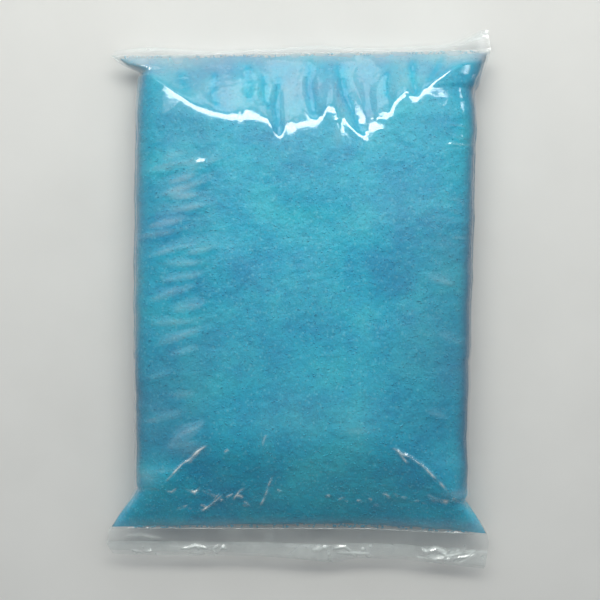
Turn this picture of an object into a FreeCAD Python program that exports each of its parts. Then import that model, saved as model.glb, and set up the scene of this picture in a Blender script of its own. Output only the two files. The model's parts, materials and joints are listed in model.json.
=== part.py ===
"""Sealed clear film pack filled with blue desiccant granules, lying flat on its back.

In millimetres: +X across the pack, +Y from the bottom fin to the top fin, +Z up from the bench. The
origin is under the middle of the pack's bounding box, at bench height.

The pack is a flat tube of clear film, welded shut at both ends round a charge of granules. Each weld
leaves a fin outside it: a fused band, then two loose film layers. Both fins fold about the inner
edge of their weld, where a round bead of squeezed-out film runs the whole width. Creases along both
sides part the tube into a front and a back panel.
"""

import FreeCAD, Part

import math
import os
import random

# Driving dimensions
LAY_FLAT_WIDTH = 200.0      # width of the empty tube, kept by both welds
PACK_WIDTH = 176.0          # across the filled body
PACK_THICKNESS = 34.0       # bench to the flat front
WELD_TO_WELD = 250.0        # between the two fold lines
WELD_HEIGHT = 13.0          # both welds above the bench
FILM = 0.2                  # one film layer

# Welds and fins
WELD_BAND = 7.0             # fused band, along the pack
BEAD_RADIUS = 0.35          # round bead on each fold line
FOLD_CLEARANCE = 0.45       # panel end to fold line
BOTTOM_TAIL = 9.8           # loose layers beyond the bottom band
TOP_TAIL = 4.0              # loose layers beyond the top band
TAIL_SPLAY = 0.5            # gap opened by each loose layer at its free edge
BACK_LAYER_EXTRA = 1.8      # the back layer of the bottom tail shows past the front one
TOP_FIN_DROOP = 60.0        # degrees below level, at rest

# Shape of the filled body
BOTTOM_FLARE_LENGTH = 21.0  # over which the body widens to the bottom weld
TOP_FLARE_LENGTH = 18.0
BOTTOM_FLARE_POWER = 1.2    # above 1 gives the ears a hollow outline
TOP_FLARE_POWER = 1.5
FRONT_SLOPE_LENGTH = 42.0   # from each panel end up to the flat front
BACK_SLOPE_LENGTH = 28.0    # from each panel end down to the bench
SLOPE_POWER = 1.5           # above 1 bulges the slopes outwards
END_ROUNDNESS = 2.2         # section exponent at the welds
FRONT_SQUARENESS = 4.4      # section exponent of the front in mid-body
BACK_SQUARENESS = 5.0
MOUTH = 0.05                # half the slit between the panels where they reach a weld
BASE_DIP = 1.0              # the back surface would sag this far below the bench, which flattens it

# Granules
FILL_GAP = 0.3              # film stands on the grain tips
FILL_END_GAP = 2.2          # charge to the bottom weld
HEADSPACE = 6.5             # charge to the top weld
GRAIN_SIZE = 1.2
GRAIN_CHAMFER = 0.18        # of the grain's size
LOOSE_GRAINS = 36
GRAIN_SEED = 7
GRAIN_SIDE_MARGIN = 14.0    # no stray grain this near the body's sides
GRAIN_WELD_MARGIN = 2.6     # nor this near the weld

# Surfaces
SECTION_POLES = 31          # across one half section
LENGTH_POLES = 33           # from weld to weld
SECTION_STEPS = 400         # for measuring along a section

BOTTOM_FIN = WELD_BAND + BOTTOM_TAIL
TOP_FIN = WELD_BAND + TOP_TAIL
TOP_FIN_REACH = (TOP_FIN * math.cos(math.radians(TOP_FIN_DROOP))
                 + (TAIL_SPLAY + FILM) * math.sin(math.radians(TOP_FIN_DROOP)))
TOTAL_LENGTH = BOTTOM_FIN + WELD_TO_WELD + TOP_FIN_REACH
BOTTOM_FOLD_Y = -TOTAL_LENGTH / 2 + BOTTOM_FIN
TOP_FOLD_Y = BOTTOM_FOLD_Y + WELD_TO_WELD
EAR_REACH = (LAY_FLAT_WIDTH - PACK_WIDTH) / 2

V = FreeCAD.Vector


def slope(distance, length):
    """0 at a panel's end, 1 from length onwards, convex between."""
    share = min(max(distance / length, 0.0), 1.0)
    return 1 - (1 - share) ** SLOPE_POWER


def both_ends(y, length):
    """The slope shares of both panel ends at y, multiplied."""
    from_bottom = y - BOTTOM_FOLD_Y - FOLD_CLEARANCE
    from_top = TOP_FOLD_Y - FOLD_CLEARANCE - y
    return slope(from_bottom, length) * slope(from_top, length)


def half_width(y):
    """Half the body's width at y, widening to the lay-flat width at both welds."""
    near_bottom = min(max(0.0, 1 - (y - BOTTOM_FOLD_Y) / BOTTOM_FLARE_LENGTH), 1.0)
    near_top = min(max(0.0, 1 - (TOP_FOLD_Y - y) / TOP_FLARE_LENGTH), 1.0)
    flare = near_bottom ** BOTTOM_FLARE_POWER + near_top ** TOP_FLARE_POWER
    return PACK_WIDTH / 2 + EAR_REACH * flare


def front_height(y):
    """Height of the front above the welds, along the middle of the pack."""
    at_weld = FILM + MOUTH
    return at_weld + (PACK_THICKNESS - WELD_HEIGHT - at_weld) * both_ends(y, FRONT_SLOPE_LENGTH)


def back_depth(y):
    """Depth of the back below the welds, along the middle, before the bench flattens it."""
    at_weld = FILM + MOUTH
    return at_weld + (WELD_HEIGHT + BASE_DIP - at_weld) * both_ends(y, BACK_SLOPE_LENGTH)


def inset(function, depth):
    """function lowered by depth, measured square to its slope along Y."""
    step = 0.05

    def lowered(y):
        rate = (function(y + step) - function(y - step)) / (2 * step)
        return function(y) - depth * math.sqrt(1 + rate * rate)

    return lowered


def squareness(y, middle):
    """Section exponent: lens-shaped at the welds, nearly rectangular in mid-body."""
    return END_ROUNDNESS + (middle - END_ROUNDNESS) * both_ends(y, FRONT_SLOPE_LENGTH)


def half_section(width, rise, exponent):
    """Points (x, z) of half a rounded rectangle, evenly spaced from its left end over to its right."""
    steps = []
    for i in range(SECTION_STEPS + 1):
        across = math.cos(math.pi * i / SECTION_STEPS)
        up = max(1 - across * across, 0.0)
        x = -width * math.copysign(abs(across) ** (2 / exponent), across)
        steps.append((x, rise * up ** (1 / exponent)))
    run = [0.0]
    for (x0, z0), (x1, z1) in zip(steps, steps[1:]):
        run.append(run[-1] + math.hypot(x1 - x0, z1 - z0))
    points = []
    k = 0
    for i in range(SECTION_POLES):
        target = run[-1] * i / (SECTION_POLES - 1)
        while k < SECTION_STEPS - 1 and run[k + 1] < target:
            k += 1
        share = min(max((target - run[k]) / (run[k + 1] - run[k]), 0.0), 1.0)
        (x0, z0), (x1, z1) = steps[k], steps[k + 1]
        points.append((x0 + share * (x1 - x0), z0 + share * (z1 - z0)))
    return points


def clamped(count):
    """Multiplicities and knots of a clamped cubic with that many poles."""
    spans = count - 3
    return [4] + [1] * (spans - 1) + [4], [i / spans for i in range(spans + 1)]


def half_surfaces(depth, rise, middle, sign, parting, start, end):
    """Half of the body's surface between two stations, that depth inside the film's outer face.

    sign is 1 for the front half and -1 for the back, and parting is its distance from the welds'
    height along the creases. The surface is in two, left and right of the pack's middle line.
    """
    width, rise = inset(half_width, depth), inset(rise, depth)
    rows = []
    for i in range(LENGTH_POLES):
        y = start + (end - start) * (1 - math.cos(math.pi * i / (LENGTH_POLES - 1))) / 2
        points = half_section(width(y), rise(y) - parting, squareness(y, middle))
        rows.append([V(x, y, WELD_HEIGHT + sign * (parting + z)) for x, z in points])
    middle_pole = SECTION_POLES // 2
    along, along_knots = clamped(LENGTH_POLES)
    across, across_knots = clamped(middle_pole + 1)
    surfaces = []
    for side in (slice(None, middle_pole + 1), slice(middle_pole, None)):
        surface = Part.BSplineSurface()
        surface.buildFromPolesMultsKnots(
            [row[side] for row in rows], along, across, along_knots, across_knots, False, False, 3, 3)
        surfaces.append(surface)
    return surfaces


def flat_face(*edges):
    """The flat face inside a ring of edges."""
    return Part.Face(Part.Wire(Part.__sortEdges__(list(edges))))


def half_body(depth, *shape):
    """A closed half of the pack, that depth inside its outer face, with a flat lid at the creases."""
    left, right = half_surfaces(depth, *shape)
    first, last, outer, inner = left.bounds()
    creases = [left.vIso(outer).toShape(), right.vIso(inner).toShape()]
    caps = []
    chords = []
    for station in (first, last):
        ends = [left.uIso(station).toShape(), right.uIso(station).toShape()]
        crease_points = [crease.valueAt(station) for crease in creases]
        chords.append(Part.makeLine(*crease_points))
        caps.append(flat_face(*ends, chords[-1]))
    faces = [left.toShape(), right.toShape(), flat_face(*creases, *chords)] + caps
    shell = Part.Shell(faces)
    shell.sewShape()
    solid = Part.Solid(shell)
    if solid.Volume < 0:
        solid.reverse()
    return solid


def above(level, body):
    """The part of a body that is above a level."""
    reach = LAY_FLAT_WIDTH
    below = Part.makeBox(2 * reach, 2 * reach, reach, V(-reach, -reach, level - reach))
    return body.cut(below)


def film_panel(rise, middle, sign):
    """One film panel, from crease to crease, pressed flat where it lies on the bench."""
    shape = rise, middle, sign, MOUTH, BOTTOM_FOLD_Y + FOLD_CLEARANCE, TOP_FOLD_Y - FOLD_CLEARANCE
    return above(0.0, half_body(0.0, *shape)).cut(above(FILM, half_body(FILM, *shape)))


def granule_fill():
    """The charge: a grain's clearance inside the film, and short of both welds."""
    depth = FILM + FILL_GAP
    span = 0.0, BOTTOM_FOLD_Y + FILL_END_GAP, TOP_FOLD_Y - HEADSPACE
    front = half_body(depth, front_height, FRONT_SQUARENESS, 1, *span)
    back = half_body(depth, back_depth, BACK_SQUARENESS, -1, *span)
    return front.fuse(above(depth, back))


def stray_grain(draw):
    """One angular grain at the origin, of a random size, shape and turn."""
    length = GRAIN_SIZE * draw.uniform(0.7, 1.0)
    width = length * draw.uniform(0.7, 1.0)
    height = length * 0.8
    grain = Part.makeBox(length, width, height, V(-length / 2, -width / 2, -height / 2))
    grain = grain.makeChamfer(GRAIN_CHAMFER * length, grain.Edges)
    grain.rotate(V(0, 0, 0), V(draw.random(), draw.random(), 1), draw.uniform(0, 180))
    return grain


def loose_grains():
    """Stray grains in the headspace, between the charge and the top weld."""
    draw = random.Random(GRAIN_SEED)
    reach = PACK_WIDTH / 2 - GRAIN_SIDE_MARGIN
    grains = []
    for i in range(LOOSE_GRAINS):
        grain = stray_grain(draw)
        x = reach * (2 * i / (LOOSE_GRAINS - 1) - 1)
        gap = draw.uniform(GRAIN_WELD_MARGIN, HEADSPACE - GRAIN_SIZE)
        grain.translate(V(x, TOP_FOLD_Y - gap, WELD_HEIGHT))
        grains.append(grain)
    return Part.makeCompound(grains)


def extruded(profile):
    """A closed outline in the YZ plane, carried across the lay-flat width."""
    half = LAY_FLAT_WIDTH / 2
    face = Part.Face(Part.makePolygon([V(-half, y, z) for y, z in profile + profile[:1]]))
    return face.extrude(V(LAY_FLAT_WIDTH, 0, 0))


def weld_band():
    """The fused band of a fin that points along +Y, with its fold bead on the X axis."""
    band = extruded([(0, -FILM), (WELD_BAND, -FILM), (WELD_BAND, FILM), (0, FILM)])
    bead = Part.makeCylinder(BEAD_RADIUS, LAY_FLAT_WIDTH, V(-LAY_FLAT_WIDTH / 2, 0, 0), V(1, 0, 0))
    return band.fuse(bead).removeSplitter()


def tail_layer(length, sign):
    """One loose film layer beyond the band, splayed away from the other one to the side of sign."""
    free_end = WELD_BAND + length
    return extruded([
        (WELD_BAND, 0),
        (free_end, sign * TAIL_SPLAY),
        (free_end, sign * (TAIL_SPLAY + FILM)),
        (WELD_BAND, sign * FILM),
    ])


def on_bottom_fold(piece):
    """A fin piece at the bottom fold line, level and pointing away from the body."""
    piece = piece.mirror(V(0, 0, 0), V(0, 1, 0))
    piece.translate(V(0, BOTTOM_FOLD_Y, WELD_HEIGHT))
    return piece


def on_top_fold(piece):
    """A fin piece at the top fold line, pointing away from the body and drooping."""
    piece.rotate(V(0, 0, 0), V(1, 0, 0), -TOP_FIN_DROOP)
    piece.translate(V(0, TOP_FOLD_Y, WELD_HEIGHT))
    return piece


def all_parts():
    return {
        "film_front_panel": film_panel(front_height, FRONT_SQUARENESS, 1),
        "film_back_panel": film_panel(back_depth, BACK_SQUARENESS, -1),
        "granule_fill": granule_fill(),
        "loose_grains": loose_grains(),
        "bottom_weld_band": on_bottom_fold(weld_band()),
        "bottom_tail_front_layer": on_bottom_fold(tail_layer(BOTTOM_TAIL - BACK_LAYER_EXTRA, 1)),
        "bottom_tail_back_layer": on_bottom_fold(tail_layer(BOTTOM_TAIL, -1)),
        "top_weld_band": on_top_fold(weld_band()),
        "top_tail_front_layer": on_top_fold(tail_layer(TOP_TAIL, 1)),
        "top_tail_back_layer": on_top_fold(tail_layer(TOP_TAIL, -1)),
    }


os.makedirs("parts", exist_ok=True)
for node, shape in all_parts().items():
    print(node, len(shape.Solids), shape.isValid(), round(shape.Volume, 1))
    shape.exportStep(os.path.join("parts", node + ".step"))
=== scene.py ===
"""Looks of a sealed clear film pack of blue desiccant granules, lying flat on its back.

Shapes are worked out in millimetres in the row's frame, +X across the pack and +Y from the bottom
fin to the top one, and turned into metres where a mesh is made. The film is one tube: a front and a
back sheet that meet along both side creases and are fused in a band across each end. Each sheet is
worked out as one grid from free edge to free edge, then cut into pieces at the welds.
"""

import json
import math

import bmesh
import bpy
import numpy as np
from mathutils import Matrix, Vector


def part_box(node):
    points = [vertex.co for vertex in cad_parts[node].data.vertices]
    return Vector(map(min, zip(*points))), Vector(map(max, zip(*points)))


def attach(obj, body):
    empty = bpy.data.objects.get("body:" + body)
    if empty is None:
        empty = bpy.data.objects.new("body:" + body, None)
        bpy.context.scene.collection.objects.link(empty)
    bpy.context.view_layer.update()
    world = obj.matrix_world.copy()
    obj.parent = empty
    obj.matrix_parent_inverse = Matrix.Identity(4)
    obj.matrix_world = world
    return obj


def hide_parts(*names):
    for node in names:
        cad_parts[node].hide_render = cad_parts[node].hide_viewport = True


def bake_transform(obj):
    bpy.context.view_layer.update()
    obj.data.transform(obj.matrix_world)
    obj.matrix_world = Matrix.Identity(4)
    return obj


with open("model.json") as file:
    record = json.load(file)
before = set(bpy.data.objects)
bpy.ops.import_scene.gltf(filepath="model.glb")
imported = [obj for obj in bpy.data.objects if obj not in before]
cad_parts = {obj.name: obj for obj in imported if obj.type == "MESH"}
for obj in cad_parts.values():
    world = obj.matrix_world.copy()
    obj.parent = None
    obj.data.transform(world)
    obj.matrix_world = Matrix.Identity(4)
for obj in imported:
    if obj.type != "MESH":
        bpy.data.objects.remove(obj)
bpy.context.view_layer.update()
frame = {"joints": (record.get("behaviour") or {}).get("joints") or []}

MM = 0.001
JOINTS = {joint["name"]: joint for joint in frame["joints"]}
BOTTOM_FOLD = JOINTS["bottom_fin_fold"]["pos_m"][1] / MM
TOP_FOLD = JOINTS["top_fin_fold"]["pos_m"][1] / MM
WELD_Z = JOINTS["top_fin_fold"]["pos_m"][2] / MM
FRONT_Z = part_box("film_front_panel")[1].z / MM

# Film
WELD_BAND = 7.0             # fused band outside each fold line
TOP_FIN_LENGTH = 11.0       # band and loose layers, along the film
TOP_WELD_SHIFT = 0.3        # the film's weld lines lie this far towards +Y from the CAD's folds
BOTTOM_WELD_SHIFT = 0.2
TOP_WELD_TILT = 0.016       # the top weld runs slightly uphill to the right
BOTTOM_WELD_DIP = 3.6       # the bottom weld runs downhill at its right end
CREASE_LIP = 1.5            # the side creases stand this far out past the filled body
CREASE_DEPTH = 1.8          # and fade into the flanks over this height
BENCH_GAP = 0.12            # back film above the bench
LAYER_GAP = 0.12            # half the distance between two fused layers
FRONT_SQUARENESS = 4.4      # power of the rounded section: 2 is an ellipse, more is squarer
BACK_SQUARENESS = 5.0
BED_SQUARENESS = 3.6
EAR_SQUARENESS = 2.2        # of both sides where they meet at a weld
EAR_REACH = 34.0            # the section has its full squareness this far from a weld
BACK_SLOPE = 28.0           # the back comes down to the bench over this distance
BACK_PRESS = 1.2            # it would reach this far below the bench, so it lies flat there
BACK_SOFTNESS = 0.25        # how softly it lands
BOTTOM_BAND_SHARE = 0.46    # of the bottom fin's length
SIDE_X = 96.0               # where the slanting ends are read for the outline
PANEL_SECTION = 21 / 88     # height over half the width, for spacing a grid's columns
BED_SECTION = 20 / 86
EVEN_REACH = 40.0           # within this of a weld, a grid's columns spread out evenly

# Granules
FILM_GAP = 1.0              # granule bed to front film, room for the grains on top
BACK_GAP = 0.35             # granule bed to back film
SIDE_GAP = 0.8              # granule bed to film at the flanks
BED_RISE = 22               # the bed's own section above and below the welds, cut down to fit the film
BED_DROP = 13
BED_END = 4.0               # the bed's ends are rounded over this length
DENT = 1.3                  # the granules give way by this share of a hollow's depth
GRAIN = 1.1                 # across
GRAIN_ROOM = 0.95           # from a grain's centre up to the film, at least
GRAIN_INSET = 1.8           # and in from the side creases
SURFACE_GRAINS = 9000       # tried; those without room are left out
STRAY_GRAINS = 420

# Grids
COLUMNS = 281
PANEL_ROWS = 351
BAND_ROWS = 11
TAIL_ROWS = 15
BED_ROWS = 301
BED_FRONT_COLUMNS = 201
BED_BACK_COLUMNS = 61

# View
VIEW_WIDTH = 315.0          # at the height of the welds
VIEW_X, VIEW_Y = -0.8, 0.8  # its middle

# Outline of the filled body and its ears, seen from above: (y, x) from the bottom weld to the top one
LEFT_EDGE = [(-119.5, -100.9), (-114.6, -97.9), (-109, -94.3), (-101.6, -89.4), (-97.9, -87.2),
             (-95.5, -88.0), (-72, -87.9), (-10, -88.5), (95, -87.4), (117, -86.2), (120, -85.4),
             (121.2, -88.0), (123.4, -93.1), (126, -97.0), (129.2, -100.0)]
RIGHT_EDGE = [(-122.9, 97.8), (-117.7, 95.2), (-113.2, 92.4), (-108.2, 89.2), (-104.8, 86.8), (-102.4, 88.7),
              (-98, 88.6), (-72, 87.9), (-10, 89.5), (32, 90.6), (95, 92.1), (107.5, 91.8), (110.3, 91.6),
              (113, 93.6), (123.4, 96.8), (132.3, 99.2)]

# Where the flat front breaks into the slope down to the top weld, a swag gathered at each pleat: (x, y)
TOP_BREAK = [(-100, 123), (-83, 120.6), (-75, 114.9), (-64, 107), (-55, 101.4), (-47.5, 98.2), (-38, 94.8),
             (-32, 95.4), (-26, 97.6), (-19, 93.6), (-14.5, 88), (-11.2, 83.8), (-6.5, 88.2), (-2, 91.6),
             (3, 92.6), (7.2, 93), (10, 94.6), (13.5, 100), (17, 98.4), (20.5, 92), (25, 90.6), (29, 86.6),
             (33.2, 83.4), (36.5, 88.4), (39, 93.6), (43.5, 97.2), (49, 105.2), (53.5, 108.2), (58.5, 105.6),
             (64.5, 110), (70.5, 115.4), (76.5, 119.6), (84, 122.8), (100, 126)]
# How softly it bends there: (x, softness)
TOP_BEND = [(-84, 0.120), (-76, 0.070), (-70, 0.040), (-64, 0.030), (-58, 0.045), (-46, 0.055),
            (-38, 0.035), (-31, 0.085), (-24, 0.080), (-17, 0.045), (-11, 0.030), (-7.5, 0.050),
            (-4, 0.085), (-1, 0.055), (5, 0.075), (9, 0.060), (13, 0.040), (17, 0.080), (21, 0.130),
            (24.5, 0.100), (28, 0.050), (32, 0.030), (36, 0.075), (41, 0.100), (48, 0.090), (53, 0.060),
            (58, 0.090), (64, 0.045), (84, 0.030)]
# The same break at the bottom, straight between two hips: (x, y)
BOTTOM_BREAK = [(-100, -99.5), (-87, -97.4), (-70, -93.9), (-50, -73.6), (-20, -73.4), (0, -74.4),
                (46, -75.2), (64, -87.2), (75.5, -99.5), (87, -103.6), (100, -104.5)]
BOTTOM_BEND = 0.075         # the same softness all along it

# Free edges of the fins, seen from above: (x, y)
BOTTOM_EDGE = [(-102, -132.2), (-98, -133.2), (-53, -133.9), (-22, -134.3), (0, -136.2), (15, -138.0),
               (28, -135.6), (52, -135.9), (67, -137.6), (97, -141.2)]
TOP_EDGE = [(-100, 132.9), (-85, 134.3), (-76, 134.4), (-60, 132.6), (-46, 132.0), (-20, 133.4), (7, 135.3),
            (30, 134.4), (49, 134.2), (65, 135.2), (78, 135.8), (88, 139.4), (94, 141.9), (99, 143.0)]


# ------------ lines, noise and marks

def through(points, at, soften=0.0):
    """Values at places along a line of (place, value) points, with its corners rounded over soften."""
    places, values = zip(*points)
    if not soften:
        return np.interp(at, places, values)
    steps = np.linspace(-soften, soften, 9)
    return sum(np.interp(at + step, places, values) for step in steps) / len(steps)


def ease(share):
    """0 to 1 with level ends."""
    share = np.clip(share, 0.0, 1.0)
    return share * share * (3 - 2 * share)


def noise(x, y, size, seed):
    """Smooth random values from -1 to 1 with features of that size."""
    cells = 128
    lattice = np.random.default_rng(seed).uniform(-1, 1, (cells, cells))
    across, along = x / size, y / size
    column, row = np.floor(across).astype(int), np.floor(along).astype(int)
    s, t = ease(across - column), ease(along - row)
    a = lattice[row % cells, column % cells]
    b = lattice[row % cells, (column + 1) % cells]
    c = lattice[(row + 1) % cells, column % cells]
    d = lattice[(row + 1) % cells, (column + 1) % cells]
    return (a * (1 - s) + b * s) * (1 - t) + (c * (1 - s) + d * s) * t


def layered(x, y, size, seed, octaves=3):
    """Noise with finer noise on it."""
    return sum(noise(x, y, size / 2 ** k, seed + k) / 2 ** k for k in range(octaves))


def crinkled(x, y, size, seed):
    """Sharp-crested random folds from 0 to 1."""
    return (1 - np.abs(noise(x, y, size, seed))) ** 3


def from_line(x, y, points):
    """Distance from a line through (x, y) points, and the share of the way along it."""
    points = np.array(points, float)
    lengths = np.hypot(*np.diff(points, axis=0).T)
    starts = np.concatenate([[0], np.cumsum(lengths)])
    distance = np.full(np.shape(x), 1e9)
    share = np.zeros(np.shape(x))
    for (x0, y0), (x1, y1), length, start in zip(points, points[1:], lengths, starts):
        along = ((x - x0) * (x1 - x0) + (y - y0) * (y1 - y0)) / length ** 2
        along = np.clip(along, 0, 1)
        gap = np.hypot(x - x0 - along * (x1 - x0), y - y0 - along * (y1 - y0))
        nearer = gap < distance
        distance = np.where(nearer, gap, distance)
        share = np.where(nearer, (start + along * length) / starts[-1], share)
    return distance, share


def fold(x, y, points, height, width):
    """A raised fold along a line, fading out at its ends."""
    distance, share = from_line(x, y, points)
    return height * (1 - (2 * share - 1) ** 4) * np.exp(-(distance / width) ** 2)


def wandering(x, y):
    """Places moved a little, so that straight lines drawn on them come out crooked."""
    return x + 0.55 * noise(x, y, 5, 21), y + 0.55 * noise(x, y, 5, 22)


def pleat(x, y, points, depth, width):
    """A gathered hollow along a line, lens-shaped, with a shoulder on each side."""
    distance, share = from_line(x, y, points)
    wide = width * (0.3 + 0.7 * np.sqrt(np.sin(math.pi * share)))
    ends = ease(share / 0.35) * ease((1 - share) / 0.2)
    hollow = np.exp(-(distance / wide) ** 2)
    shoulders = np.exp(-((distance - 1.9 * wide) / (0.75 * wide)) ** 2)
    return depth * ends * (0.35 * shoulders - hollow)


# ------------ the filled body

def edges(y):
    """The left and right outline at y, with the small waves of the side creases."""
    left = through(LEFT_EDGE, y, 0.6) + 0.35 * layered(y, 11, 11, 3)
    right = through(RIGHT_EDGE, y, 0.6) + 0.35 * layered(y, 47, 11, 4)
    return left, right


def film_edges(y):
    """The outline that the film's sections fill, inside the lips of the side creases."""
    left, right = edges(y)
    return left + CREASE_LIP, right - CREASE_LIP


def outward(x, left, right):
    """Place across an outline, from -1 at the left to 1 at the right."""
    return (2 * x - left - right) / (right - left)


def from_weld(y):
    """Distance inward from the nearer fold line."""
    return np.minimum(y - BOTTOM_FOLD, TOP_FOLD - y)


def at_sides(outline, v, line):
    """The left and right of an outline at a share of the way between two ends, which may slant."""
    sides = []
    for side, x in enumerate((-SIDE_X, SIDE_X)):
        low, high = line(x, False), line(x, True)
        sides.append(outline(low + (high - low) * v)[side])
    return sides


def weld_line(x, at_top):
    """Y of the weld at x."""
    if at_top:
        return TOP_FOLD + TOP_WELD_SHIFT + TOP_WELD_TILT * x
    return BOTTOM_FOLD + BOTTOM_WELD_SHIFT - BOTTOM_WELD_DIP * ease((x - 20) / 95)


def soft_limit(t, bend):
    """t up to nearly 1, then 1, with a bend between."""
    return -bend * np.logaddexp(-t / bend, -1 / bend)


def top_share(x, y):
    """Rise from the top weld to the flat front, from 0 to 1."""
    weld = weld_line(x, True)
    t = (weld - y) / (weld - through(TOP_BREAK, x, 1.0))
    bend = through(TOP_BEND, x, 1.0) * (1 + 0.2 * noise(x, 3, 4, 15))
    return soft_limit(np.clip(t, 1e-9, None) ** 0.86, bend)


def bottom_share(x, y):
    """Rise from the bottom weld to the flat front, from 0 to 1."""
    weld = weld_line(x, False)
    t = (y - weld) / (through(BOTTOM_BREAK, x, 6.0) - weld)
    return soft_limit(np.clip(t, 1e-9, None) ** 0.84, BOTTOM_BEND)


def across_share(x, y, left, right, squareness):
    """Rise from the side creases, from 0 to 1, lens-shaped near the welds."""
    full = np.clip(from_weld(y) / EAR_REACH, 0, 1)
    power = EAR_SQUARENESS + (squareness - EAR_SQUARENESS) * full
    out = np.clip(np.abs(outward(x, left, right)), 0, 1)
    return np.clip(1 - out ** power, 0, 1) ** (1 / power)


def front_rise(x, y, left, right):
    """Height of the front above the welds."""
    rise = across_share(x, y, left, right, FRONT_SQUARENESS) * top_share(x, y) * bottom_share(x, y)
    return (FRONT_Z - WELD_Z) * rise


def back_drop(x, y, left, right):
    """Depth of the back below the welds, flat where it meets the bench."""
    ends = np.minimum(y - weld_line(x, False), weld_line(x, True) - y) / BACK_SLOPE
    slope = 1 - (1 - np.clip(ends, 0, 1)) ** 1.5
    drop = (WELD_Z + BACK_PRESS) * across_share(x, y, left, right, BACK_SQUARENESS) * slope
    limit, soft = WELD_Z - BENCH_GAP, BACK_SOFTNESS
    return limit - soft * np.logaddexp(0, (limit - drop) / soft) + soft * np.exp(-limit / soft)


def section_places(count, squareness, rise_share):
    """Places from -1 to 1 across a section, evenly spaced along its rounded outline."""
    turn = np.linspace(0, math.pi, 4001)
    x = -np.sign(np.cos(turn)) * np.abs(np.cos(turn)) ** (2 / squareness)
    z = rise_share * np.sin(turn).clip(0) ** (2 / squareness)
    run = np.concatenate([[0], np.cumsum(np.hypot(np.diff(x), np.diff(z)))])
    return np.interp(np.linspace(0, run[-1], count), run, x)


def row_places(rows):
    """Shares of the way from weld to weld for a grid's rows, closer together on the two slopes."""
    v = np.linspace(0, 1, 2001)
    density = 1 + 1.3 * (1 - ease((v - 0.20) / 0.06)) + 1.3 * ease((v - 0.74) / 0.06)
    run = np.concatenate([[0], np.cumsum(density[:-1] + density[1:])])
    return np.interp(np.linspace(0, run[-1], rows), run, v)[:, None]


def body_plan(v, places, outline, line):
    """x, y and the outline for a grid over the body. line gives y at both ends, and v the rows between."""
    low, high = line(0.0, False), line(0.0, True)
    y = low + (high - low) * v
    left, right = at_sides(outline, v, line)
    near_weld = 1 - ease(from_weld(y) / EVEN_REACH)
    evenly = np.linspace(-1, 1, len(places))[None, :]
    place = places[None, :] * (1 - near_weld) + evenly * near_weld
    x = (left + right) / 2 + place * (right - left) / 2
    low, high = line(x, False), line(x, True)
    return x, low + (high - low) * v, left, right


def normals_of(points):
    """Unit normals of a grid of points."""
    along, across = np.gradient(points, axis=0), np.gradient(points, axis=1)
    normal = np.cross(across, along)
    return normal / np.maximum(np.linalg.norm(normal, axis=2, keepdims=True), 1e-12)


# ------------ wrinkles

TOP_PLEATS = [  # a line from near the weld to the break, then depth and half width
    ([(-27.5, 121), (-27.5, 112), (-27, 104)], 0.7, 2.6),
    ([(-19.5, 116), (-19, 108), (-17.5, 100)], 0.7, 2.4),
    ([(-12, 115), (-13, 100), (-11.2, 84)], 1.1, 2.3),
    ([(4.3, 125), (4, 110), (7.2, 93)], 1.1, 2.6),
    ([(20, 122), (22.6, 107), (27, 97), (32.5, 84)], 1.35, 3.2),
    ([(58, 125), (56.8, 116), (59, 105)], 1.1, 2.8),
    ([(73, 127), (71, 121), (66, 114)], 0.4, 2.2),
    ([(44, 118), (43.5, 112), (44, 105)], 0.4, 1.6),
    ([(-62, 117), (-60, 110)], 0.45, 3.2),
    ([(-45, 117), (-46, 108), (-43, 100)], 0.5, 2.6),
]
RIDGES = [  # a line, then height and half width
    ([(97, 131), (92.5, 122), (89, 114), (88, 108)], 0.9, 1.0),
    ([(-85, 122), (-76, 115), (-66, 108.5), (-56, 102.5)], 0.18, 1.1),
    ([(-88, -98), (-80, -95.5), (-71, -94)], 0.5, 1.1),
    ([(88, -104), (82, -102), (76, -100)], 0.5, 1.1),
]
CREASES = [  # sharp folds that have gone white and carry painted glints in their haze, in the same form
    ([(-70, -92.5), (-66, -88.5), (-61, -83.2), (-57.5, -81), (-53, -76.5), (-48, -73.2)], 0.85, 0.8),
    ([(-57.8, -83), (-55, -79.8), (-51.5, -76.4)], 0.45, 0.7),
    ([(-70, -97.5), (-67, -98.4), (-64.5, -96)], 0.5, 0.6),
    ([(-40, -77.4), (-37, -76)], 0.7, 0.7),
    ([(-12.5, -97.4), (-10, -98.6)], 0.6, 0.7),
    ([(-54, 70.7), (-51, 71.4), (-49, 71.3)], 0.30, 0.7),
    ([(-60, -97), (-55, -98), (-52, -95)], 0.6, 0.8),
    ([(-54, -107), (-51, -109), (-45, -103), (-40, -100)], 0.7, 0.8),
    ([(-52, -97), (-44, -101)], 0.6, 0.8),
    ([(-36, -103), (-32, -98), (-28, -95)], 0.7, 0.8),
    ([(-21, -106), (-18, -99), (-15, -90)], 0.7, 0.8),
    ([(46.5, -74.4), (50.5, -77.5), (56, -80.2), (64.5, -86.4), (70, -92), (75, -98)], 1.0, 0.85),
    ([(48.5, -76), (51.5, -79.5), (54.5, -83.5)], 0.65, 0.75),
    ([(64, -99), (69, -102), (76, -103)], 0.7, 0.8),
    ([(-20, -74), (-18, -68)], 0.3, 0.8),
    ([(74, 80.9), (80, 80.4), (88, 80.7)], 0.22, 0.7),
    ([(76, 49.4), (84, 50.0)], 0.24, 0.7),
    ([(76, 90.4), (85, 90.0)], 0.16, 0.9),
]
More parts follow.
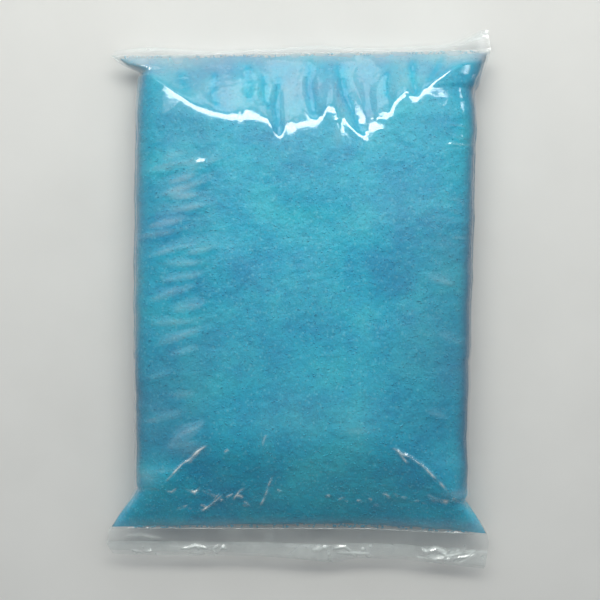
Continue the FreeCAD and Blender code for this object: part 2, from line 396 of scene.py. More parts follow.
FIN_CREASES = [  # on the bottom fin: a line of (x, distance from the weld), then height and half width
    ([(64, 12), (70, 9), (76, 12), (70, 15), (66, 13)], 0.8, 0.7),
    ([(70, 14), (80, 13.5), (92, 11)], 0.9, 0.7),
    ([(80, 17.5), (86, 14.5), (92, 11)], 0.8, 0.7),
    ([(60, 14), (72, 17)], 0.6, 0.7),
    ([(16, 10), (23, 9.5), (27, 12)], 0.7, 0.6),
    ([(18, 13), (28, 12.5), (36, 13.5)], 0.6, 0.6),
    ([(-64, 10), (-56, 9), (-48, 10)], 0.7, 0.6),
    ([(-60, 13), (-50, 13)], 0.5, 0.6),
    ([(-94, 4), (-86, 3.2), (-72, 4.5)], 0.5, 0.7),
    ([(-90, 11), (-84, 12.5), (-78, 11)], 0.6, 0.6),
]


def tick(x, y, turn, reach):
    """A short bent line through a place."""
    return [(x - reach, y - reach * turn), (x, y + 0.4), (x + reach, y + reach * turn)]


def fin_creases():
    """Every crease on the bottom fin: the long ones, and short ones in four clusters."""
    draw = np.random.default_rng(14)
    marks = []
    for low, high, count in ((-97, -72, 6), (-62, -40, 7), (8, 38, 9), (62, 96, 7)):
        for x0 in draw.uniform(low, high, count):
            t, turn, reach = draw.uniform(8.5, 15), draw.uniform(-1, 1), draw.uniform(0.7, 2.0)
            marks.append((tick(x0, t, turn, reach), draw.uniform(0.3, 0.6), 0.55))
    return FIN_CREASES + marks


def side_puckers():
    """Long low puckers up the sides of the front: centre, length, height, half width and lean."""
    draw = np.random.default_rng(5)
    marks = []
    y = 81.0
    while y > -92:
        low = ease((10 - y) / 60)
        x = draw.uniform(-74, -54) - 4 * low
        length = draw.uniform(20, 38) - 5 * low
        height = draw.uniform(0.30, 0.52) * (1 - 0.25 * low) * ease((84 - y) / 10)
        marks.append((x, y, length, height, draw.uniform(2.1, 3.3), draw.uniform(3, 19)))
        y -= draw.uniform(4.5, 8.5) + 6 * low
    marks += [(-50, 70, 24, 0.40, 2.6, 20), (-52, 26, 22, 0.4, 2.6, 12), (-61, -69, 19, 0.8, 3.2, 36)]
    marks += [(-54, -66, 15, 0.5, 2.2, 42), (80, 52, 12, 0.3, 1.3, -3), (80, 46, 10, 0.25, 1.2, 3)]
    marks += [(82, 33, 14, 0.25, 1.2, 2), (81, 84, 10, 0.3, 1.6, -8), (78, -20, 18, 0.35, 2.4, -12)]
    marks += [(72, 10, 20, 0.3, 2.6, -9), (70, -58, 18, 0.35, 2.6, -16), (30, -66, 30, 0.25, 3.4, 2)]
    return marks


def puckers(x, y, narrow=1.0):
    """Height of the puckers. Below 1, narrow leaves only their crests."""
    total = 0 * x
    for x0, y0, length, height, width, lean in side_puckers():
        turn = math.radians(lean)
        along = (x - x0) * math.cos(turn) + (y - y0) * math.sin(turn)
        off = (y - y0) * math.cos(turn) - (x - x0) * math.sin(turn)
        share = np.clip(1 - (2 * along / length) ** 2, 0, 1)
        total = total + height * share ** 1.2 * np.exp(-(off / (narrow * width * (0.6 + 0.5 * share))) ** 2)
    return total


def small_creases():
    """Short sharp crinkles in loose rows on the bottom slope, as lines with a height and half width."""
    draw = np.random.default_rng(8)
    marks = []
    for low, high, bottom, top, count in ((14, 80, -106, -100, 14), (-62, -28, -111, -97, 12)):
        for x0 in np.linspace(low, high, count) + draw.uniform(-2, 2, count):
            y0, turn, reach = draw.uniform(bottom, top), draw.uniform(-0.9, 0.9), draw.uniform(0.8, 2.2)
            marks.append((tick(x0, y0, turn, reach), draw.uniform(0.4, 0.8), 0.7))
    return marks


CRINKLES = [  # where the break is crumpled: middle (x, y), reach and depth
    (36, 91, 7, 0.30),
    (45, 97, 6, 0.18),
    (19, 95, 5, 0.14),
    (58, 106.5, 4, 0.20),
    (-4, 92, 4, 0.14),
    (-30, 97, 6, 0.10),
]


def crumpled(x, y):
    """Small facets round some places on the break."""
    total = 0 * x
    for k, (x0, y0, reach, depth) in enumerate(CRINKLES):
        near = np.exp(-((x - x0) ** 2 + (y - y0) ** 2) / reach ** 2)
        total = total + depth * near * (crinkled(x, y, 4.5, 110 + k) + 0.6 * noise(x, y, 2.6, 120 + k))
    return total


def wrinkle_fade(y, out):
    """1 over most of the film, and 0 at the side creases and the welds, where front meets back."""
    return ease((1 - out) / 0.05) * ease(from_weld(y) / 5)


def front_wrinkles(x, y, left, right):
    """How far the front film stands off its smooth shape."""
    out = np.abs(outward(x, left, right))
    top_slope = ease((y - through(TOP_BREAK, x, 2.0) + 2) / 8)
    bottom_slope = ease((through(BOTTOM_BREAK, x, 2.0) - y + 2) / 8)
    side = ease((out - 0.72) / 0.25)
    total = 0.35 * layered(x, y, 38, 31, 2)
    total = total + sum(pleat(x, y, *mark) for mark in TOP_PLEATS)
    total = total + sum(fold(*wandering(x, y), *mark) for mark in RIDGES + CREASES + small_creases())
    total = total + puckers(x, y) + crumpled(x, y)
    total = total + 0.22 * top_slope * noise(x * 2.4, y * 0.5, 9, 41)
    total = total + 0.16 * bottom_slope * noise(x * 2.2, y * 0.6, 9, 43)
    total = total + 0.16 * side * noise(x * 0.45, y * 1.6, 9, 45)
    busy = 0.25 + 0.5 * top_slope + 0.6 * bottom_slope + 0.6 * side
    total = total + 0.16 * busy * crinkled(x + 3 * noise(x, y, 14, 51), y, 11, 52)
    total = total + 0.10 * busy * crinkled(x, y + 3 * noise(x, y, 12, 53), 6, 54)
    return total * wrinkle_fade(y, out)


def back_wrinkles(x, y, left, right):
    """How far the back film stands off its smooth shape."""
    out = np.abs(outward(x, left, right))
    ends = 1 - ease((from_weld(y) - 8) / 26)
    side = ease((out - 0.78) / 0.18)
    total = 0.5 * side * noise(x * 0.4, y * 1.5, 9, 61) + 0.35 * ends * noise(x * 2.2, y * 0.5, 9, 63)
    total = total + 0.25 * np.maximum(side, ends) * crinkled(x, y, 9, 65)
    return total * wrinkle_fade(y, out)


# ------------ film grids

def panel_grid(front):
    """The front or back sheet of the filled body."""
    squareness = FRONT_SQUARENESS if front else BACK_SQUARENESS
    places = section_places(COLUMNS, squareness, PANEL_SECTION)
    x, y, left, right = body_plan(row_places(PANEL_ROWS), places, film_edges, weld_line)
    if front:
        z = front_rise(x, y, left, right)
    else:
        z = -back_drop(x, y, left, right)
    out = outward(x, left, right)
    lip = CREASE_LIP * np.exp(-(z / CREASE_DEPTH) ** 2) * ease((np.abs(out) - 0.55) / 0.4)
    points = np.stack([x + np.sign(out) * lip, y, WELD_Z + z], axis=2)
    normal = normals_of(points)
    if front:
        points += normal * front_wrinkles(x, y, left, right)[..., None]
    else:
        points -= normal * back_wrinkles(x, y, left, right)[..., None]
        points[..., 2] = np.maximum(points[..., 2], BENCH_GAP)
    return points


def fin_waves(x, t, seed, length):
    """How far a fin waves off its plane, more towards its free edge."""
    reach = np.clip(t / length, 0, 1.3)
    slow = noise(x, 5, 34, seed) + 0.6 * noise(x, 9, 15, seed + 1)
    return reach ** 1.4 * slow + 0.25 * reach * noise(x * 1.6, t * 0.7, 7, seed + 2)


def bottom_fin_grid(panel_end, front, rows, start, stop):
    """A stretch of one layer of the bottom fin. start and stop are shares of its length."""
    share = np.linspace(start, stop, rows)[:, None]
    x0 = panel_end[None, :, 0]
    length = weld_line(x0, False) - through(BOTTOM_EDGE, x0, 1.5)
    if front:
        tail_cut = 2.1 + 0.5 * noise(x0, 0, 22, 71)
        length = length - tail_cut * ease((share - 0.4) / 0.6)
    t = share * length
    narrow = through([(0, 0), (8, 1.2), (13, -1.4), (18, -1.4)], t) * ease((-x0 - 60) / 40)
    narrow = narrow + through([(0, 0), (4, -0.6), (20, 1.6)], t) * ease((x0 - 60) / 40)
    x = x0 - narrow
    tail = ease((t - WELD_BAND) / 3)
    apart = LAYER_GAP + tail * (0.25 + 0.12 * (t - WELD_BAND).clip(0) * (0.7 + 0.5 * noise(x, t, 16, 77)))
    z = -0.011 * t ** 2 + 0.9 * fin_waves(x, t, 73, 17) + 0.18 * tail * crinkled(x, t, 6, 80)
    z = z + sum(fold(*wandering(x, t), *mark) for mark in fin_creases())
    z = z + (apart if front else -apart)
    return np.stack([x, weld_line(x0, False) - t, WELD_Z + z], axis=2)


def top_fin_grid(panel_end, front, rows, start, stop):
    """A stretch of one layer of the top fin, which droops by what its projected length shows."""
    t = np.linspace(start, stop, rows)[:, None] * TOP_FIN_LENGTH
    x0 = panel_end[None, :, 0]
    shown = through(TOP_EDGE, x0, 2.0) - weld_line(x0, True)
    flat = np.clip(shown / TOP_FIN_LENGTH, 0.1, 0.97)
    steep = np.sqrt(1 - flat ** 2)
    if not front:
        t = t * (1 - 0.05 * ease((t - WELD_BAND) / 4))
    tail = ease((t - WELD_BAND) / 3)
    apart = LAYER_GAP + tail * (0.2 + 0.14 * (t - WELD_BAND).clip(0))
    off = 0.45 * fin_waves(x0, t, 83, 11) + (apart if front else -apart)
    y = weld_line(x0, True) + t * flat + off * steep
    z = -t * steep + off * flat
    x = x0 - 0.10 * t * ease((x0 - 84) / 16) + 0.06 * t * ease((-x0 - 84) / 16)
    return np.stack([x, y, WELD_Z + z], axis=2)


def layer_grids(front):
    """One film layer from free edge to free edge, as named stretches that share their end rows."""
    panel = panel_grid(front)
    top_band_share = WELD_BAND / TOP_FIN_LENGTH
    first, last = panel[0], panel[-1]
    grids = {
        "bottom_tail": bottom_fin_grid(first, front, TAIL_ROWS, 1.0, BOTTOM_BAND_SHARE),
        "bottom_band": bottom_fin_grid(first, front, BAND_ROWS, BOTTOM_BAND_SHARE, 0.0),
        "panel": panel,
        "top_band": top_fin_grid(last, front, BAND_ROWS, 0.0, top_band_share),
        "top_tail": top_fin_grid(last, front, TAIL_ROWS // 2, top_band_share, 1.0),
    }
    grids["bottom_band"][-1], grids["top_band"][0] = first, last
    stretches = list(grids.values())
    normal = normals_of(np.concatenate(stretches[:1] + [grid[1:] for grid in stretches[1:]]))
    pieces = {}
    row = 0
    for name, grid in grids.items():
        pieces[name] = (grid, normal[row:row + len(grid)])
        row += len(grid) - 1
    return pieces


# ------------ meshes

def mesh_object(name, points, faces, material):
    """A smooth-shaded object from points in millimetres and an array of faces."""
    mesh = bpy.data.meshes.new(name)
    mesh.vertices.add(len(points))
    mesh.vertices.foreach_set("co", (points * MM).astype(np.float32).ravel())
    corners = faces.shape[1]
    mesh.loops.add(faces.size)
    mesh.loops.foreach_set("vertex_index", faces.astype(np.int32).ravel())
    mesh.polygons.add(len(faces))
    mesh.polygons.foreach_set("loop_start", np.arange(0, faces.size, corners, dtype=np.int32))
    mesh.update(calc_edges=True)
    mesh.polygons.foreach_set("use_smooth", np.ones(len(faces), bool))
    mesh.materials.append(material)
    piece = bpy.data.objects.new(name, mesh)
    bpy.context.scene.collection.objects.link(piece)
    return piece


def grid_faces(rows, columns, flip=False):
    """The four corners of every face of a grid of points."""
    index = np.arange(rows * columns).reshape(rows, columns)
    corners = [index[:-1, :-1], index[:-1, 1:], index[1:, 1:], index[1:, :-1]]
    faces = np.stack([corner.ravel() for corner in corners], axis=1)
    return faces[:, ::-1] if flip else faces


def store(piece, name, values):
    """A number on each point, for the material."""
    attribute = piece.data.attributes.new(name, "FLOAT", "POINT")
    attribute.data.foreach_set("value", np.ascontiguousarray(values, np.float32).ravel())


def film_piece(name, grid, normal, front, material, haze):
    """A sheet of film. Its shading runs on smoothly into the stretches next to it."""
    rows, columns = grid.shape[:2]
    piece = mesh_object(name, grid.reshape(-1, 3), grid_faces(rows, columns, not front), material)
    facing = normal if front else -normal
    piece.data.normals_split_custom_set_from_vertices(facing.reshape(-1, 3).tolist())
    store(piece, "haze", haze)
    return piece


# ------------ materials

class Nodes:
    """Short names for building the node tree of a material or world."""

    def __init__(self, owner):
        owner.use_nodes = True
        self.owner = owner
        self.tree = owner.node_tree
        self.tree.nodes.clear()

    def add(self, kind, **properties):
        """A node with those properties."""
        node = self.tree.nodes.new(kind)
        for name, value in properties.items():
            setattr(node, name, value)
        return node

    def put(self, node, socket, value):
        """A number or colour on a socket, or a link to it from another node's output."""
        into = node.inputs[socket]
        if isinstance(value, bpy.types.NodeSocket):
            self.tree.links.new(value, into)
        else:
            into.default_value = value

    def fill(self, node, values):
        """The outputs of a node, once those values or links are on its sockets."""
        for socket, value in values.items():
            self.put(node, socket, value)
        return node.outputs

    def made(self, kind, **values):
        return self.fill(self.add(kind), values)

    def maths(self, operation, a, b=0.0, c=0.0, clamp=False):
        node = self.add("ShaderNodeMath", operation=operation, use_clamp=clamp)
        return self.fill(node, {0: a, 1: b, 2: c})[0]

    def ramp(self, value, stops):
        """A colour or grey for each value, by (place, colour) stops."""
        node = self.add("ShaderNodeValToRGB")
        self.put(node, 0, value)
        elements = node.color_ramp.elements
        while len(elements) < len(stops):
            elements.new(0.5)
        for element, (place, colour) in zip(elements, stops):
            element.position = place
            element.color = (*colour, 1) if len(colour) == 3 else (colour[0],) * 3 + (1,)
        return node.outputs[0]

    def mix(self, factor, a, b, blend="MIX"):
        node = self.add("ShaderNodeMix", data_type="RGBA", blend_type=blend)
        return self.fill(node, {0: factor, 6: a, 7: b})[2]

    def place(self, scale=(1, 1, 1)):
        """Position on the pack in millimetres, stretched by scale."""
        where = self.made("ShaderNodeTexCoord")["Object"]
        return self.made("ShaderNodeMapping", Vector=where, Scale=[s / MM for s in scale])[0]

    def noise(self, place, scale, detail=2.0, rough=0.5):
        made = self.made("ShaderNodeTexNoise", Vector=place, Scale=scale, Detail=detail, Roughness=rough)
        return made["Fac"]

    def attribute(self, name):
        return self.add("ShaderNodeAttribute", attribute_name=name).outputs["Fac"]

    def bump(self, height, strength, distance):
        return self.made("ShaderNodeBump", Height=height, Strength=strength, Distance=distance)[0]

    def mix_shaders(self, factor, a, b):
        return self.fill(self.add("ShaderNodeMixShader"), {0: factor, 1: a, 2: b})[0]

    def finish(self, shader, kind="Material"):
        output = self.add("ShaderNodeOutput" + kind)
        self.put(output, "Surface", shader)
        return self.owner


def film_material(name, ribs=False):
    """Clear film: it passes light straight through, mirrors by angle, and adds a thin milky veil, which in
    places holds painted glints and reflection.
    """
    n = Nodes(bpy.data.materials.new(name))
    place = n.place()
    height = n.noise(place, 0.22, 4.0, 0.55)
    if ribs:
        lines = n.add("ShaderNodeTexWave", wave_type="BANDS", bands_direction="Y")
        rib = n.fill(lines, {"Vector": place, "Scale": 0.32, "Distortion": 0.6})["Fac"]
        height = n.maths("ADD", height, n.maths("MULTIPLY", rib, 0.25))
    bumped = n.bump(height, 0.12, 0.0006)
    facing = n.made("ShaderNodeLayerWeight", Blend=0.5, Normal=bumped)["Facing"]
    grazing = n.maths("POWER", facing, 4.0)
    mirror = n.maths("MULTIPLY_ADD", grazing, 0.9, 0.074, clamp=True)
    smears = n.ramp(n.noise(n.place((1, 0.45, 1)), 0.06, 3.0, 0.6), [(0.35, (0.8,)), (0.7, (1.3,))])
    # the haze attribute: milkiness, in places with painted glints and reflection
    veil = n.maths("MULTIPLY", n.attribute("haze"), smears)
    veil = n.maths("MULTIPLY", veil, 0.75, clamp=True)
    through_it = n.made("ShaderNodeBsdfTransparent", Color=(0.965, 0.975, 0.98, 1))[0]
    milk = n.made("ShaderNodeBsdfDiffuse", Color=(0.79, 0.84, 0.83, 1), Normal=bumped)[0]
    gloss = n.made("ShaderNodeBsdfAnisotropic", Color=(0.97, 0.98, 1.0, 1), Roughness=0.13, Normal=bumped)[0]
    return n.finish(n.mix_shaders(mirror, n.mix_shaders(veil, through_it, milk), gloss))


def granule_material(name, loose=False):
    """Blue silica-gel grains about a millimetre across, each its own tone, mottled in drifts, with painted
    shade between the grains and where the shade attribute asks for it.
    """
    n = Nodes(bpy.data.materials.new(name))
    place = n.place()
    grains = n.made("ShaderNodeTexVoronoi", Vector=place, Scale=0.6 if loose else 0.95)
    shade = n.made("ShaderNodeSeparateColor", Color=grains["Color"])
    drift = n.noise(n.place((1, 1.3, 1)), 0.028, 3.0, 0.55)
    patch = n.noise(place, 0.11, 3.0, 0.6)
    blend = n.maths("ADD", n.maths("MULTIPLY", drift, 0.7), n.maths("MULTIPLY", patch, 0.3))
    base = n.ramp(blend, [
        (0.36, (0.004, 0.370, 0.62)), (0.5, (0.010, 0.476, 0.69)), (0.64, (0.03, 0.56, 0.72))])
    speck = n.ramp(shade[0], [(0.0, (0.86,)), (0.25, (0.96,)), (0.75, (1.0,)), (1.0, (1.0,))])
    base = n.mix(1.0, base, speck, "MULTIPLY")
    pale = n.ramp(shade[1], [(0.90, (0.0,)), (0.97, (0.28,))])
    base = n.mix(pale, base, (0.22, 0.72, 0.84, 1))
    # painted shade: the granules darken towards deep blue by the shade attribute
    base = n.mix(n.attribute("shade"), base, (0.02, 0.17, 0.30, 1))
    if not loose:
        # painted shade between grains: darker towards the edge of each grain's cell
        shade_between_grains = n.ramp(grains["Distance"], [(0.4, (1.0,)), (0.8, (0.90,))])
        base = n.mix(1.0, base, shade_between_grains, "MULTIPLY")
    round_tops = n.maths("SUBTRACT", 1.0, grains["Distance"])
    return n.finish(n.made("ShaderNodeBsdfPrincipled", **{
        "Base Color": base, "Roughness": 0.45, "Specular IOR Level": 0.2,
        "Normal": n.bump(round_tops, 0.28, 0.0005)})[0])


def floor_material():
    """Pale and matt, with a faint drift of tone."""
    n = Nodes(bpy.data.materials.new("pale_floor"))
    tone = n.ramp(n.noise(n.place(), 0.02, 3.0), [(0.3, (0.70, 0.695, 0.685)), (0.7, (0.73, 0.725, 0.715))])
    return n.finish(n.made("ShaderNodeBsdfPrincipled", **{"Base Color": tone, "Roughness": 0.62})[0])


# ------------ pieces

def bed_edges(y):
    """The granule bed's outline: close inside the creases, and short of the top left ear."""
    left, right = edges(y)
    low = ease((20 - y) / 120)
    bottom_ear = ease((-100 - y) / 14)
    margin = 0.4 + 1.0 * low * (1 - bottom_ear)
    return left + margin + 2.5 * ease((y - 117) / 10), right - margin - 1.0 * ease((y - 112) / 10)


def bed_end(x, at_top):
    """Y where the granules end, in slow waves just short of the weld."""
    if at_top:
        return weld_line(x, True) - 1.7 - 0.4 * layered(x, 0, 17, 91)
    short = through([(-100, 1.0), (-60, 1.9), (-30, 3.0), (40, 3.4), (70, 2.4), (98, 0.7)], x, 4.0)
    return weld_line(x, False) + short * (1 + 0.28 * layered(x, 30, 15, 92))


def dents(x, y, left, right):
    """How far the granules give way under the film's hollows."""
    return DENT * np.minimum(front_wrinkles(x, y, left, right), 0)


def zero_rim(values):
    """Hold a grid of values at 0 all round."""
    values[0], values[-1] = 0, 0
    values[:, 0], values[:, -1] = 0, 0


def bed_grid(columns, front):
    """The front or back surface of the granule bed, under the film all over."""
    places = section_places(columns, FRONT_SQUARENESS if front else BACK_SQUARENESS, BED_SECTION)
    x, y, left, right = body_plan(np.linspace(0, 1, BED_ROWS)[:, None], places, bed_edges, bed_end)
    film_left, film_right = film_edges(y)
    if front:
        room = front_rise(x, y, film_left + SIDE_GAP, film_right - SIDE_GAP)
        room = room + dents(x, y, film_left, film_right) - FILM_GAP
    else:
        room = back_drop(x, y, film_left + SIDE_GAP, film_right - SIDE_GAP) - BACK_GAP
    own = (BED_RISE if front else BED_DROP) * across_share(x, y, left, right, BED_SQUARENESS)
    end = np.minimum(y - bed_end(x, False), bed_end(x, True) - y)
    own = own * np.sqrt(np.clip(1 - (1 - np.clip(end / BED_END, 0, 1)) ** 2, 0, 1))
    rise = np.minimum(np.maximum(room, 0.15), own)
    zero_rim(rise)
    z = WELD_Z + (rise if front else -rise)
    return np.stack([x, y, z], axis=2)


def granule_bed(material):
    """The charge as one closed mesh with a rough, grainy surface."""
    front, back = bed_grid(BED_FRONT_COLUMNS, True), bed_grid(BED_BACK_COLUMNS, False)
    back[:, 0], back[:, -1] = front[:, 0], front[:, -1]
    draw = np.random.default_rng(17)
    for grid, sign in ((front, 1), (back, -1)):
        normal = normals_of(grid) * sign
        x, y, z = np.moveaxis(grid, 2, 0)
        rough = draw.normal(0, 0.09, grid.shape[:2]) + 0.20 * noise(x + z, y + z, 3.0, 95)
        zero_rim(rough)
        grid += normal * (rough * (1.0 if sign > 0 else 0.3))[..., None]
    back_z = back[..., 2]
    back[..., 2] = np.where(back_z < WELD_Z - 1, np.maximum(back_z, BENCH_GAP + 0.25), back_z)
    points = np.concatenate([front.reshape(-1, 3), back.reshape(-1, 3)])
    faces = np.concatenate([
        grid_faces(BED_ROWS, BED_FRONT_COLUMNS),
        grid_faces(BED_ROWS, BED_BACK_COLUMNS, True) + front.shape[0] * front.shape[1]])
    bed = mesh_object("granule_bed", points, faces, material)
    weld_points(bed)
    # painted shade for the granule material, by where each point lies
    places = np.zeros(len(bed.data.vertices) * 3, np.float32)
    bed.data.vertices.foreach_get("co", places)
    places = places.reshape(-1, 3) / MM
    store(bed, "shade", painted_shade_at(places[:, 0], places[:, 1]))
    return bed, front


def weld_points(piece):
    """Join points that lie on each other."""
    work = bmesh.new()
    work.from_mesh(piece.data)
    bmesh.ops.remove_doubles(work, verts=work.verts, dist=1e-6)
    work.to_mesh(piece.data)
    work.free()


def painted_shade_at(x, y):
    """Painted shade on the granules at a place, from 0 to 1: darker towards the sides, the right, the bottom
    and the welds, and deeper between the side puckers, with a little random tone.
    """
    left, right = edges(y)
    out = np.abs(outward(x, left, right))
    # painted shade along the side creases, stronger on the right
    shade = (0.36 + 0.50 * ease(x / 60)) * ease((out - 0.88) / 0.12) * (1 - 0.9 * ease((-y - 94) / 8))
    # painted shade towards the bottom, the right half and the lower left, less at the bottom corners
    hips = ease((np.abs(x) - 40) / 25) * ease((-y - 78) / 12)
    shade = shade + 0.15 * ease((50 - y) / 130) * (1 - hips)
    shade = shade + 0.08 * ease((x - 20) / 60) * ease((y + 100) / 10)
    shade = shade + 0.20 * ease((x - 30) / 45) * ease((75 - y) / 60) * ease((y + 90) / 30)
    shade = shade + 0.20 * ease((-x - 45) / 20) * ease((-y - 20) / 30) * ease((y + 88) / 10)
    shade = shade + 0.16 * ease((-y - 92) / 20) * (1 - 2.1 * ease((np.abs(x) - 45) / 35))
    # painted shade close to both welds
    shade = shade + 0.10 * ease((-y - 110) / 7) + 0.10 * ease((y - 121) / 6)
    # deeper between the side puckers, where the film lies on the granules
    between = (0.4 - puckers(x, y)).clip(0) / 0.4 * ease((y + 92) / 10)
    shade = shade + 0.14 * ease((-x - 38) / 14) * ease((out - 0.2) / 0.2) * between
    # a little random tone on top of the painted shade
    return np.clip(shade + 0.06 * layered(x, y, 30, 97), 0, 1)


def icosahedron():
    """Its 12 points, one unit from the middle, and its 20 faces."""
    golden = (1 + 5 ** 0.5) / 2
    points = []
    for a in (-1, 1):
        for b in (-golden, golden):
            points += [(0, a, b), (a, b, 0), (b, 0, a)]
    points = np.array(points, float) / math.hypot(1, golden)
    faces = []
    side = 2 / math.hypot(1, golden) * 1.01
    for i in range(12):
        for j in range(i + 1, 12):
            for k in range(j + 1, 12):
                trio = points[[i, j, k]]
                if all(np.linalg.norm(trio[a] - trio[b]) < side for a, b in ((0, 1), (1, 2), (0, 2))):
                    faces_out = np.dot(np.cross(trio[1] - trio[0], trio[2] - trio[0]), trio.sum(0)) > 0
                    faces.append((i, j, k) if faces_out else (i, k, j))
    return points, np.array(faces)


def grains_object(name, centres, material, seed):
    """Angular grains at those centres, each of its own size, shape and turn."""
    draw = np.random.default_rng(seed)
    ball, faces = icosahedron()
    count = len(centres)
    size = GRAIN / 2 * draw.uniform(0.72, 1.12, (count, 1, 1))
    shape = draw.uniform(0.78, 1.1, (count, 1, 3))
    turn = np.linalg.qr(draw.normal(size=(count, 3, 3)))[0]
    turn = turn * np.sign(np.linalg.det(turn))[:, None, None]
    jitter = draw.uniform(0.88, 1.08, (count, 12, 1))
    points = np.einsum("nij,nkj->nki", turn, ball[None] * shape * jitter) * size + centres[:, None, :]
    every = faces[None] + 12 * np.arange(count)[:, None, None]
    piece = mesh_object(name, points.reshape(-1, 3), every.reshape(-1, 3), material)
    # the same painted shade as on the bed
    flat = points.reshape(-1, 3)
    store(piece, "shade", painted_shade_at(flat[:, 0], flat[:, 1]))
    return piece


def surface_grains(front, material):
    """Grains lying in the top of the bed, just under the film."""
    draw = np.random.default_rng(23)
    rows, columns = front.shape[:2]
    row = draw.uniform(3, rows - 4, SURFACE_GRAINS)
    column = draw.uniform(2, columns - 3, SURFACE_GRAINS)
    r, c = row.astype(int), column.astype(int)
    f, g = (row - r)[:, None], (column - c)[:, None]
    place = (front[r, c] * (1 - f) + front[r + 1, c] * f) * (1 - g) + (
        front[r, c + 1] * (1 - f) + front[r + 1, c + 1] * f) * g
    normal = normals_of(front)[r, c]
    centres = place + normal * draw.uniform(-0.3, 0.0, (SURFACE_GRAINS, 1))
    x, y = centres[:, 0], centres[:, 1]
    left, right = edges(y)
    film_z = WELD_Z + (front_rise(x, y, left, right) + dents(x, y, left, right))
    inside = np.minimum(x - left, right - x) > GRAIN_INSET
    centres = centres[(film_z - centres[:, 2] > GRAIN_ROOM) & inside]
    return grains_object("surface_grains", centres, material, 29)


def stray_grains(material):
    """Loose grains past the end of the bed: in the headspace, the ears and along the bottom weld."""
    draw = np.random.default_rng(37)
    centres = []
    while len(centres) < STRAY_GRAINS:
        at_top = draw.random() < 0.55
        x = draw.uniform(-93, 93)
        end, weld = bed_end(x, at_top), weld_line(x, at_top)
        y = end + (weld - end) * draw.uniform(-0.05, 0.8)
        left, right = edges(y)
        rise = front_rise(x, y, left, right)
        if rise < 0.9 or not left + 5 < x < right - 5:
            continue
        centres.append((x, y, WELD_Z + draw.uniform(-0.1, 0.35) * (rise - 0.8)))
    return grains_object("stray_grains", np.array(centres), material, 31)


HAZE_PATCHES = [  # where the film stands off the granules: middle (x, y), reach each way and strength
    (-70, 124, 26, 4.0, 0.14),
    (-86, 122, 7, 3.0, 0.10),
    (-80, -90, 7, 4.0, 0.16),
    (-58, -75, 9, 3.5, 0.10),
    (81, -99, 7, 2.4, 0.18),
    (-84, 60, 4, 60, 0.07),
    (18.5, 85, 2.2, 5.5, 0.12),
    (5, -60, 48, 12, 0.03),
]


def creases_whitened_and_glinting(x, y, lines, strength, width):
    """Milkiness along sharp folds, partly whitening of the film and partly painted glints; the folds are
    lines with a height and half width.
    """
    return sum(fold(*wandering(x, y), line, strength * height, width) for line, height, _ in lines)


def film_haze(grid, kind):
    """How milky the film is over a stretch, with painted reflection, sheen and glints in places."""
    x, y = grid[..., 0], grid[..., 1]
    if kind == "panel":
        left, right = edges(y)
        out = np.abs(outward(x, left, right))
        # milkier on the top slope: partly film standing off the granules, partly painted reflection; the
        # pleats are left clear
        top = ease((y - through(TOP_BREAK, x, 2.0) + 3) / 10)
        near_weld = 1 - ease(from_weld(y) / 9)
        pleats = sum(np.exp(-(from_line(x, y, line)[0] / width) ** 2) for line, _, width in TOP_PLEATS)
        top = top * (1 - np.clip(pleats, 0, 1)) * (0.8 + 0.4 * noise(x, y, 11, 98))
        drift = ease(0.5 + 0.9 * layered(x, y, 30, 101))
        # milky along sharp folds: partly whitening of the film, partly painted glints
        whitening_and_glints = creases_whitened_and_glinting(x, y, CREASES + small_creases(), 1.5, 0.4)
        whitening_and_glints = whitening_and_glints * (0.55 + 0.6 * noise(x, y, 2.4, 103)).clip(0.05)
        # milky streaks on the pucker crests: partly film standing off the granules, partly painted sheen
        loose = (0.14 - 0.07 * ease((20 - y) / 60)) * (1 + 0.5 * noise(x, y, 7, 104))
        loose = loose * ease((puckers(x, y, 0.62) - 0.06) / 0.30)
        for x0, y0, across, along, strength in HAZE_PATCHES:
            loose = loose + strength * np.exp(-((x - x0) / across) ** 2 - ((y - y0) / along) ** 2)
        side = (0.12 - 0.11 * ease(x / 60)) * ease((out - 0.93) / 0.07)
        return 0.008 + 0.02 * drift + 0.20 * top + whitening_and_glints + loose + side + 0.22 * near_weld
    # on the fins the folds also carry painted glints besides their whitening
    whitening_and_glints = creases_whitened_and_glinting(x, BOTTOM_FOLD - y, fin_creases(), 0.9, 0.6)
    return {"band": 0.16, "tail": 0.3}[kind] + 0.12 * layered(x, y, 12, 99) + whitening_and_glints


def make_film():
    """Every stretch of film by name, in clear or welded film by its kind."""
    clear, band = film_material("clear_film"), film_material("welded_film", ribs=True)
    front, back = layer_grids(True), layer_grids(False)
    made = {}
    for name, source, stretch in (
        ("film_front", front, "panel"),
        ("film_back", back, "panel"),
        ("bottom_weld", front, "bottom_band"),
        ("bottom_tail_front", front, "bottom_tail"),
        ("bottom_tail_back", back, "bottom_tail"),
        ("top_weld", front, "top_band"),
        ("top_tail_front", front, "top_tail"),
        ("top_tail_back", back, "top_tail"),
    ):
        grid, normal = source[stretch]
        kind = stretch.split("_")[-1]
        material = band if kind == "band" else clear
        made[name] = film_piece(name, grid, normal, source is front, material, film_haze(grid, kind))
    return made


clear_pieces = make_film()
bed, bed_front = granule_bed(granule_material("blue_granules"))
grain_material = granule_material("loose_blue_granules", loose=True)
top_grains = surface_grains(bed_front, grain_material)
strays = stray_grains(grain_material)

for piece in (clear_pieces["film_front"], clear_pieces["film_back"], bed, top_grains, strays):
    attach(piece, "pack_body")
for piece in (clear_pieces["bottom_tail_front"], clear_pieces["bottom_tail_back"]):
    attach(piece, "bottom_fin")
for piece in (clear_pieces["top_tail_front"], clear_pieces["top_tail_back"]):
    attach(piece, "top_fin")

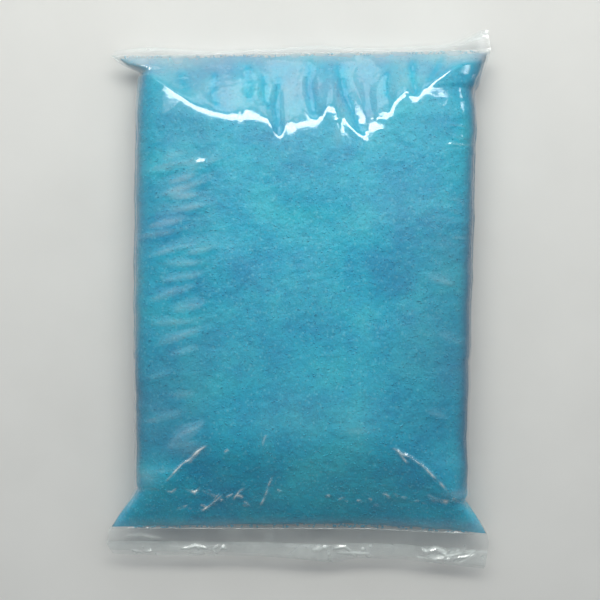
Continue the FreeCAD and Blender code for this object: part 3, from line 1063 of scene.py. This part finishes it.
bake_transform(clear_pieces["bottom_weld"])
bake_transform(clear_pieces["top_weld"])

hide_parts("film_front_panel")
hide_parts("film_back_panel")
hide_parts("bottom_weld_band")
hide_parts("bottom_tail_front_layer")
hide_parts("bottom_tail_back_layer")
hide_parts("top_weld_band")
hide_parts("top_tail_front_layer")
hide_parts("top_tail_back_layer")
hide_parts("granule_fill")
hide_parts("loose_grains")


# ------------ floor, light and camera

def soft_box(name, from_upright, azimuth, distance, width, height, radiance):
    """A soft light facing the pack. Angles are from straight up, and from +Y round towards +X."""
    data = bpy.data.lights.new(name, "AREA")
    data.shape = "RECTANGLE"
    data.size, data.size_y = width, height
    data.energy = radiance * math.pi * width * height
    light = bpy.data.objects.new(name, data)
    bpy.context.scene.collection.objects.link(light)
    tilt, turn = math.radians(from_upright), math.radians(azimuth)
    level = distance * math.sin(tilt)
    light.location = (level * math.sin(turn), level * math.cos(turn), distance * math.cos(tilt))
    light.rotation_mode = "QUATERNION"
    light.rotation_quaternion = light.location.to_track_quat("Z", "Y")
    light.visible_camera = False
    return light


def sky_fade(n, part, middle, full, none, strongest):
    """Strongest near a middle value of one part of the direction, and 0 further off."""
    off = n.maths("ABSOLUTE", n.maths("SUBTRACT", part, middle))
    fade = n.add("ShaderNodeMapRange", interpolation_type="SMOOTHSTEP")
    ends = {"Value": off, "From Min": full, "From Max": none, "To Min": strongest, "To Max": 0.0}
    return n.fill(fade, ends)[0]


def studio_world():
    """Soft light from all round, with a glow high up behind the pack that fades out on every side."""
    n = Nodes(bpy.data.worlds.new("studio"))
    way = n.made("ShaderNodeSeparateXYZ", Vector=n.made("ShaderNodeTexCoord")["Generated"])
    upright = n.made("ShaderNodeMapRange", **{"Value": way["Z"], "To Min": 0.50, "To Max": 0.25})[0]
    behind = n.maths("MULTIPLY_ADD", way["Y"], 0.20, upright)
    glow_along = sky_fade(n, way["Y"], 0.22, 0.10, 0.22, 0.6)
    glow_across = sky_fade(n, way["X"], 0.0, 0.25, 0.85, 1.0)
    strength = n.maths("MULTIPLY_ADD", glow_along, glow_across, behind)
    sky = n.made("ShaderNodeBackground", Color=(0.93, 0.97, 0.99, 1), Strength=strength)[0]
    return n.finish(sky, "World")


def make_stage():
    """A wide floor, the light from all round, and four soft lamps."""
    points = np.array([(-4, -4, 0), (4, -4, 0), (4, 4, 0), (-4, 4, 0)]) / MM
    floor = mesh_object("floor", points, np.array([[0, 1, 2, 3]]), floor_material())
    bpy.context.scene.world = studio_world()
    key = soft_box("key", 35, 0, 0.80, 0.90, 0.22, 6.4)
    key.data.color = (0.99, 1.0, 0.93)
    gleam = soft_box("gleam", 35, 0, 0.79, 0.90, 0.22, 5.0)
    gleam.data.color = (1.0, 0.99, 0.93)
    gleam.visible_diffuse = False       # it only brightens the key's reflection in the film
    soft_box("back_fill", 62, -6, 1.0, 0.9, 0.34, 1.4)
    soft_box("right_glint", 60, 60, 1.0, 0.16, 0.12, 6.0)


def make_camera():
    """Straight above, at a distance that shows the view's width at the height of the welds."""
    data = bpy.data.cameras.new("overhead")
    data.lens, data.sensor_width = 85, 36
    shown = VIEW_WIDTH * MM
    height = shown / data.sensor_width * data.lens + WELD_Z * MM
    camera = bpy.data.objects.new("overhead", data)
    bpy.context.scene.collection.objects.link(camera)
    camera.location = (VIEW_X * MM, VIEW_Y * MM, height)
    data.clip_start, data.clip_end = 0.01, 50
    bpy.context.scene.camera = camera


make_stage()
make_camera()
bpy.context.scene.view_settings.view_transform = "Standard"
